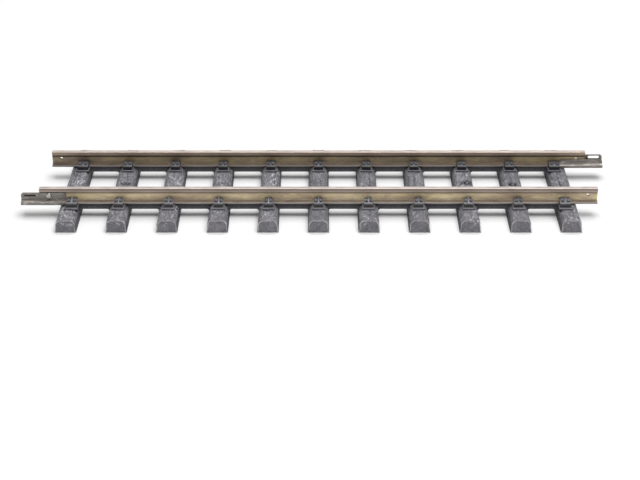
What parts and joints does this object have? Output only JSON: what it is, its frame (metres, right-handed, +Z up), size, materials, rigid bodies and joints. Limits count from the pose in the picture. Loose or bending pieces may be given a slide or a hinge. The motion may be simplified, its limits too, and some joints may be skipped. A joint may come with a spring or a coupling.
{
  "type": "model track section",
  "caption": "Straight model railway track: two brass rails in the chairs of a moulded sleeper strip, with a screwed-on joiner at one end of each rail.",
  "frame": {"origin": "middle of the bounding box's base: under the middle of the track, level with the sleepers' soles", "axes": "+X along the track, +Y from the front rail to the back rail, +Z up"},
  "size_m": [0.3198, 0.0922, 0.016],
  "materials": {
    "sleeper_plastic": "moulded, weathered grey-black, with wood grain",
    "rail_brass": "drawn brass, tarnished, with a bright running surface",
    "joiner_brass": "folded brass sheet, dark with tarnish",
    "screw_plating": "nickel plated"
  },
  "bodies": {
    "sleepers": {"sleeper_strip": "sleeper_plastic"},
    "front_rail": {"rail_front": "rail_brass", "joiner_left": "joiner_brass", "joiner_screw_left": "screw_plating"},
    "back_rail": {"rail_back": "rail_brass", "joiner_right": "joiner_brass", "joiner_screw_right": "screw_plating"}
  },
  "joints": [
    {"name": "front_rail_creep", "type": "slide", "parent": "sleepers", "child": "front_rail", "axis": [-1, 0, 0], "range_m": [-0.00025, 0.0016]},
    {"name": "back_rail_creep", "type": "slide", "parent": "sleepers", "child": "back_rail", "axis": [1, 0, 0], "range_m": [-0.00025, 0.0016]}
  ]
}
